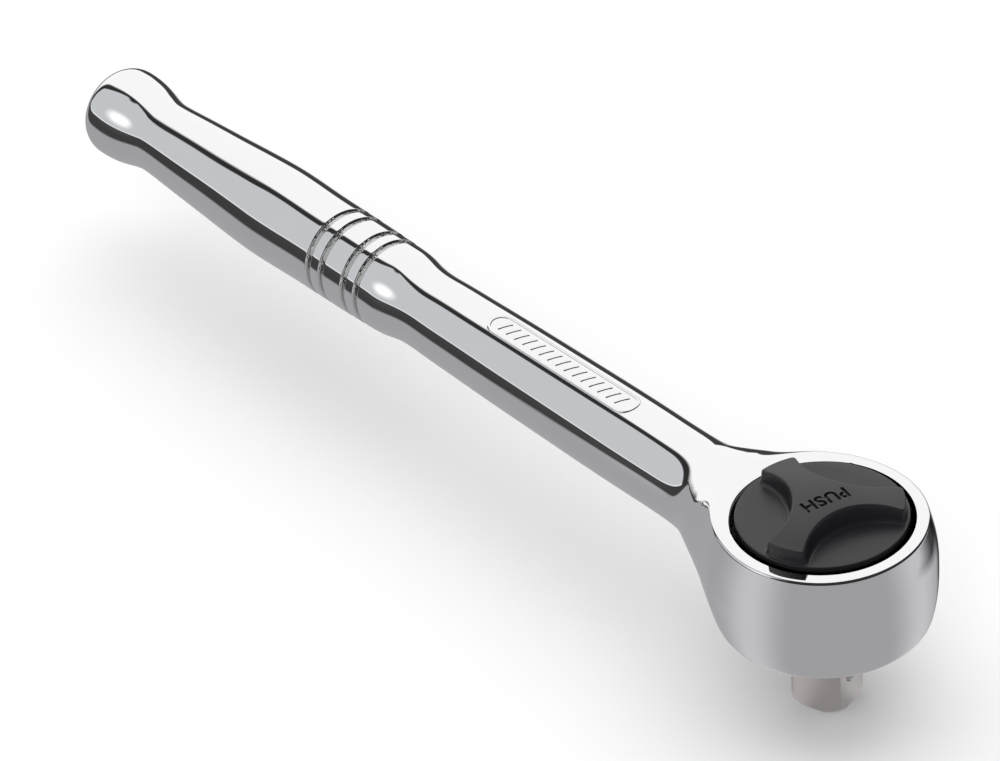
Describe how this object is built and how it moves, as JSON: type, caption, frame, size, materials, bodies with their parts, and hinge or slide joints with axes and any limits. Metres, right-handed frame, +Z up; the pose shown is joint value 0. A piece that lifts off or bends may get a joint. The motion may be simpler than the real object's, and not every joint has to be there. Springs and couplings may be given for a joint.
{
  "type": "ratchet wrench",
  "caption": "Round-head reversible ratchet with a square drive, a push-release dial with three lobes and a turned bar handle with grooves and an end bulb.",
  "frame": {"origin": "centre of the drive square's tip face", "axes": "+Z up the drive axis with the dial on top; the handle runs along -X; +Y completes the right-handed frame"},
  "size_m": [0.1456, 0.0256, 0.0281],
  "materials": {
    "polished_chrome": "mirror-polished chrome plate",
    "plated_drive_steel": "satin nickel-chrome plate",
    "hardened_steel": "ground",
    "blackened_steel": "black oxide",
    "spring_steel": "bright drawn wire",
    "seal_rubber": "moulded",
    "gasket_fibre": "pressed fibre",
    "dial_plastic": "fine matt moulded texture"
  },
  "bodies": {
    "handle": {"handle_body": "polished_chrome", "thrust_washer": "hardened_steel", "cover_gasket": "gasket_fibre", "cover_plate": "blackened_steel", "cover_circlip": "blackened_steel"},
    "drive": {"spindle": "plated_drive_steel", "spindle_seal": "seal_rubber", "pawl_pin": "hardened_steel", "selector_stop_pin": "hardened_steel"},
    "pawl": {"pawl": "hardened_steel"},
    "selector": {"selector_hub": "hardened_steel", "selector_seal": "seal_rubber", "pawl_spring": "spring_steel", "release_spring": "spring_steel"},
    "plunger": {"pawl_plunger": "hardened_steel"},
    "dial": {"reversing_dial": "dial_plastic", "dial_insert": "hardened_steel", "release_pin": "hardened_steel", "release_clip": "spring_steel"},
    "ball": {"detent_ball": "hardened_steel"}
  },
  "joints": [
    {"name": "drive_spin", "type": "hinge", "parent": "handle", "child": "drive", "pos_m": [0, 0, 0.0126], "axis": [0, 0, 1], "continuous": true},
    {"name": "selector_turn", "type": "hinge", "parent": "drive", "child": "selector", "pos_m": [0, 0, 0.0195], "axis": [0, 0, 1], "range_deg": [-50, 0]},
    {"name": "pawl_rock", "type": "hinge", "parent": "drive", "child": "pawl", "pos_m": [0.00684, 0.00226, 0.0164], "axis": [0, 0, 1], "range_deg": [0, 18]},
    {"name": "plunger_slide", "type": "slide", "parent": "selector", "child": "plunger", "axis": [0.7278, 0.6858, 0], "range_m": [-0.0006, 0], "stiffness_N_per_m": 150},
    {"name": "dial_push", "type": "slide", "parent": "selector", "child": "dial", "axis": [0, 0, -1], "range_m": [0, 0.0012], "stiffness_N_per_m": 300, "springref_m": -0.002, "deforming": ["release_spring"]},
    {"name": "ball_retract", "type": "slide", "parent": "drive", "child": "ball", "axis": [-0.9494, -0.314, 0], "range_m": [0, 0.0006]}
  ],
  "couplings": [
    {"joint": "pawl_rock", "follows": "selector_turn", "ratio": -0.36},
    {"joint": "ball_retract", "follows": "dial_push", "ratio": 0.5}
  ]
}
